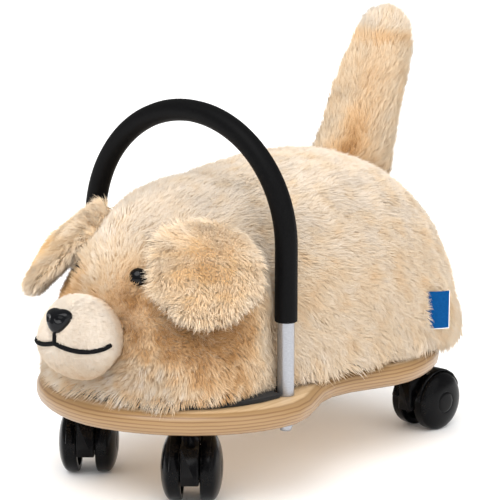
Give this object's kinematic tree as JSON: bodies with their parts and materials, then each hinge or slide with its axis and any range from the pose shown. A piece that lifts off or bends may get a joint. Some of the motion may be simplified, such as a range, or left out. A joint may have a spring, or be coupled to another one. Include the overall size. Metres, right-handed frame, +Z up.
{
  "type": "plush ride on animal",
  "caption": "Stuffed dog on a figure-eight plywood board, with a bent steel push handle with a foam grip and twin-wheel swivel castors.",
  "frame": {"origin": "on the floor under the middle of the toy's length and width", "axes": "+Z up, the dog faces -Y, its left side is +X, so +Y runs along the toy to the tail"},
  "size_m": [0.2408, 0.4266, 0.3593],
  "materials": {
    "birch_plywood": "clear satin lacquer",
    "satin_steel": "satin",
    "black_grip": "satin foam",
    "black_plastic": "semi-gloss",
    "cream_plush": "long soft pile",
    "short_pile": "short smooth pile",
    "black_cloth": "matte weave",
    "gloss_black": "high gloss",
    "blue_tape": "woven tape"
  },
  "bodies": {
    "toy": {"board": "birch_plywood", "handle_tube": "satin_steel", "handle_grip": "black_grip", "handle_plug_left": "satin_steel", "handle_plug_right": "satin_steel", "handle_washer_left": "black_plastic", "handle_washer_right": "black_plastic", "handle_bolt_left": "satin_steel", "handle_bolt_right": "satin_steel", "base_pad": "black_cloth", "plush_head": "cream_plush", "plush_body": "cream_plush", "muzzle": "short_pile", "nose": "gloss_black", "mouth_cord": "black_cloth", "philtrum_cord": "black_cloth", "eye_left": "gloss_black", "eye_right": "gloss_black", "ear_left": "cream_plush", "ear_right": "cream_plush", "tail": "cream_plush", "label_tab": "blue_tape", "tee_nut_front_left": "satin_steel", "castor_stem_front_left": "satin_steel", "castor_snap_ring_front_left": "satin_steel", "tee_nut_front_right": "satin_steel", "castor_stem_front_right": "satin_steel", "castor_snap_ring_front_right": "satin_steel", "tee_nut_rear_left": "satin_steel", "castor_stem_rear_left": "satin_steel", "castor_snap_ring_rear_left": "satin_steel", "tee_nut_rear_right": "satin_steel", "castor_stem_rear_right": "satin_steel", "castor_snap_ring_rear_right": "satin_steel"},
    "castor_front_left": {"castor_housing_front_left": "black_plastic", "castor_axle_front_left": "satin_steel"},
    "wheel_a_front_left": {"wheel_a_front_left": "black_plastic"},
    "wheel_b_front_left": {"wheel_b_front_left": "black_plastic"},
    "castor_front_right": {"castor_housing_front_right": "black_plastic", "castor_axle_front_right": "satin_steel"},
    "wheel_a_front_right": {"wheel_a_front_right": "black_plastic"},
    "wheel_b_front_right": {"wheel_b_front_right": "black_plastic"},
    "castor_rear_left": {"castor_housing_rear_left": "black_plastic", "castor_axle_rear_left": "satin_steel"},
    "wheel_a_rear_left": {"wheel_a_rear_left": "black_plastic"},
    "wheel_b_rear_left": {"wheel_b_rear_left": "black_plastic"},
    "castor_rear_right": {"castor_housing_rear_right": "black_plastic", "castor_axle_rear_right": "satin_steel"},
    "wheel_a_rear_right": {"wheel_a_rear_right": "black_plastic"},
    "wheel_b_rear_right": {"wheel_b_rear_right": "black_plastic"}
  },
  "joints": [
    {"name": "swivel_front_left", "type": "hinge", "parent": "toy", "child": "castor_front_left", "pos_m": [0.0539, -0.1277, 0.045], "axis": [0, 0, 1], "continuous": true},
    {"name": "roll_a_front_left", "type": "hinge", "parent": "castor_front_left", "child": "wheel_a_front_left", "pos_m": [0.04529, -0.11628, 0.025], "axis": [0.7986, 0.6018, 0], "continuous": true},
    {"name": "roll_b_front_left", "type": "hinge", "parent": "castor_front_left", "child": "wheel_b_front_left", "pos_m": [0.04529, -0.11628, 0.025], "axis": [0.7986, 0.6018, 0], "continuous": true},
    {"name": "swivel_front_right", "type": "hinge", "parent": "toy", "child": "castor_front_right", "pos_m": [-0.0539, -0.1277, 0.045], "axis": [0, 0, 1], "continuous": true},
    {"name": "roll_a_front_right", "type": "hinge", "parent": "castor_front_right", "child": "wheel_a_front_right", "pos_m": [-0.0627, -0.11643, 0.025], "axis": [0.788, 0.6157, 0], "continuous": true},
    {"name": "roll_b_front_right", "type": "hinge", "parent": "castor_front_right", "child": "wheel_b_front_right", "pos_m": [-0.0627, -0.11643, 0.025], "axis": [0.788, 0.6157, 0], "continuous": true},
    {"name": "swivel_rear_left", "type": "hinge", "parent": "toy", "child": "castor_rear_left", "pos_m": [0.0745, 0.1403, 0.045], "axis": [0, 0, 1], "continuous": true},
    {"name": "roll_a_rear_left", "type": "hinge", "parent": "castor_rear_left", "child": "wheel_a_rear_left", "pos_m": [0.07649, 0.15446, 0.025], "axis": [0.9903, -0.1392, 0], "continuous": true},
    {"name": "roll_b_rear_left", "type": "hinge", "parent": "castor_rear_left", "child": "wheel_b_rear_left", "pos_m": [0.07649, 0.15446, 0.025], "axis": [0.9903, -0.1392, 0], "continuous": true},
    {"name": "swivel_rear_right", "type": "hinge", "parent": "toy", "child": "castor_rear_right", "pos_m": [-0.0745, 0.1403, 0.045], "axis": [0, 0, 1], "continuous": true},
    {"name": "roll_a_rear_right", "type": "hinge", "parent": "castor_rear_right", "child": "wheel_a_rear_right", "pos_m": [-0.07649, 0.15446, 0.025], "axis": [0.9903, 0.1392, 0], "continuous": true},
    {"name": "roll_b_rear_right", "type": "hinge", "parent": "castor_rear_right", "child": "wheel_b_rear_right", "pos_m": [-0.07649, 0.15446, 0.025], "axis": [0.9903, 0.1392, 0], "continuous": true}
  ]
}
